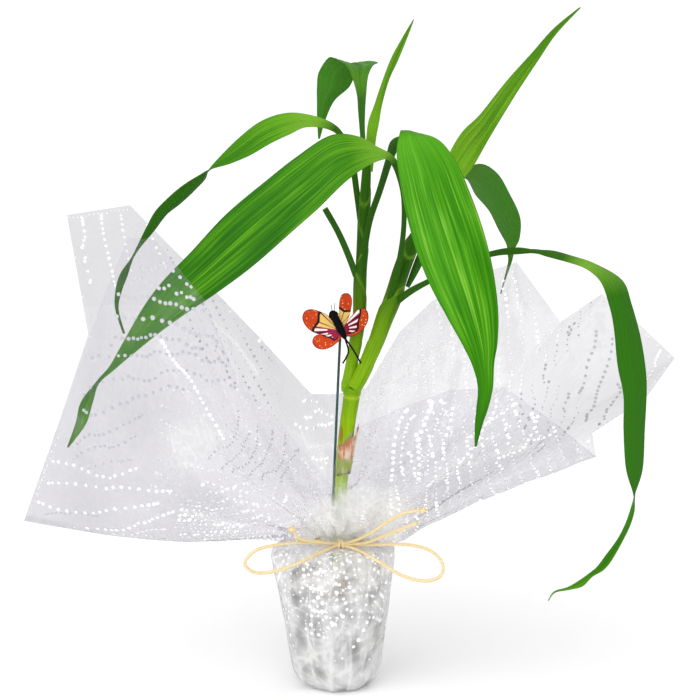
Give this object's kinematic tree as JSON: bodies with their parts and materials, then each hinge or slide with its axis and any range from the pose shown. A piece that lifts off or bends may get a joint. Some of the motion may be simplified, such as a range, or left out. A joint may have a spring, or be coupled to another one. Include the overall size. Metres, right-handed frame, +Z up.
{
  "type": "lucky bamboo in a wrapped cup",
  "caption": "Lucky bamboo cane with leafy side shoots standing in a glass cup of pebbles, wrapped in dotted clear film tied with a cord bow, with a butterfly pick beside it.",
  "frame": {"origin": "middle of the underside of the wrapped cup, where it stands", "axes": "+Z up, the front with the bow towards -Y, the longest leaves to the left along -X"},
  "size_m": [0.3237, 0.163, 0.3426],
  "materials": {
    "film_wrap": "thin clear film with rows of white dots",
    "cup": "clear smooth glass",
    "stones": "washed grey and brown pebbles",
    "cane": "yellow-green bark with pale rings",
    "dry_sheath": "dry and papery",
    "shoot": "smooth green stem",
    "leaf": "glossy green with fine veins along it",
    "leaf_dark": "darker green, satin",
    "leaf_young": "bright yellow-green, satin",
    "tie": "straw-coloured cord",
    "butterfly_stick": "dark green coated wire",
    "butterfly_wings": "printed orange, yellow and black",
    "butterfly_body": "matt black"
  },
  "bodies": {
    "root": {"film_wrap": "film_wrap", "cup": "cup", "stones": "stones", "cane": "cane", "dry_sheath": "dry_sheath", "shoot_left": "shoot", "shoot_right": "shoot", "leaf_front_left": "leaf", "leaf_front_hanging": "leaf", "leaf_upper_left": "leaf", "leaf_top_folded": "leaf_dark", "leaf_young_upright": "leaf_young", "leaf_upper_right": "leaf_young", "leaf_right_behind": "leaf_dark", "leaf_far_right": "leaf", "leaf_clipped": "leaf_dark", "tie": "tie", "butterfly_stick": "butterfly_stick", "butterfly_wings": "butterfly_wings", "butterfly_body": "butterfly_body"}
  },
  "joints": []
}
